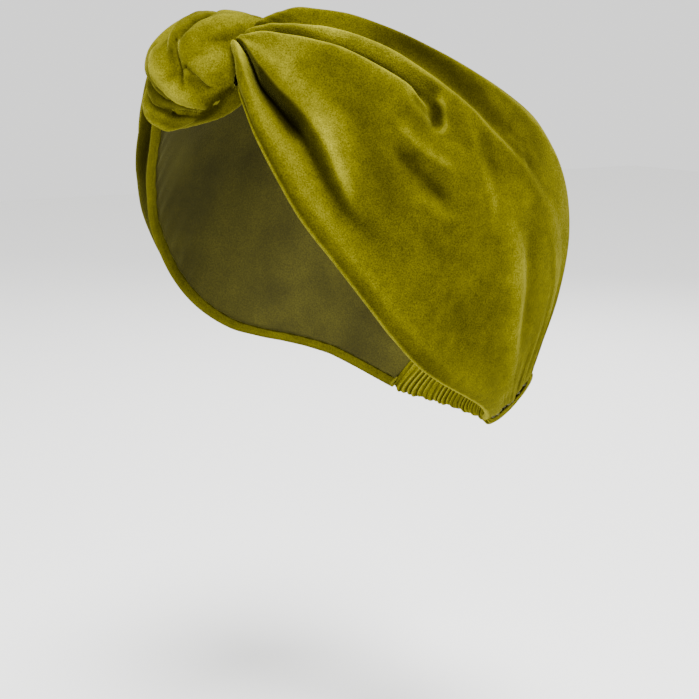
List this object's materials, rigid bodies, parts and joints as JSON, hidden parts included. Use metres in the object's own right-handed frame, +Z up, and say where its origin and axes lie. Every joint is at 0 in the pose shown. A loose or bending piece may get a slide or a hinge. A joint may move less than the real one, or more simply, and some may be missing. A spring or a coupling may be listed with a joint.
{
  "type": "knotted headband",
  "caption": "Wide padded velvet headband with a front knot, two gathered lined side panels and a ruched elastic nape that stretches to fit a head.",
  "frame": {"origin": "centre of the head opening, where the wearer's head centre lies", "axes": "worn upright: +Z up, -Y to the knot and the forehead, +Y to the nape, +X to the wearer's left; the loop leans back 41 degrees about X"},
  "size_m": [0.1879, 0.1853, 0.1902],
  "materials": {
    "velvet": "plush pile velvet, matte with a soft sheen",
    "lining": "fine jersey knit, matte",
    "elastic": "flat woven elastic, ribbed",
    "thread": "spun polyester sewing thread"
  },
  "bodies": {
    "knot": {"knot_wrap": "velvet", "knot_core": "velvet", "knot_tacking": "thread", "elastic": "elastic", "elastic_casing": "velvet"},
    "left_side": {"left_outer_panel": "velvet", "left_lining": "lining", "left_back_seam": "thread"},
    "right_side": {"right_outer_panel": "velvet", "right_lining": "lining", "right_back_seam": "thread"}
  },
  "joints": [
    {"name": "left_flex", "type": "hinge", "parent": "knot", "child": "left_side", "pos_m": [0.027, -0.07337, 0.08631], "axis": [0, -0.6561, -0.7547], "range_deg": [-5, 7], "stiffness_Nm_per_rad": 4, "deforming": ["elastic", "elastic_casing"]},
    {"name": "right_flex", "type": "hinge", "parent": "knot", "child": "right_side", "pos_m": [-0.027, -0.07337, 0.08631], "axis": [0, 0.6561, 0.7547], "range_deg": [-5, 7], "stiffness_Nm_per_rad": 4}
  ],
  "couplings": [
    {"joint": "right_flex", "follows": "left_flex", "ratio": 1}
  ]
}
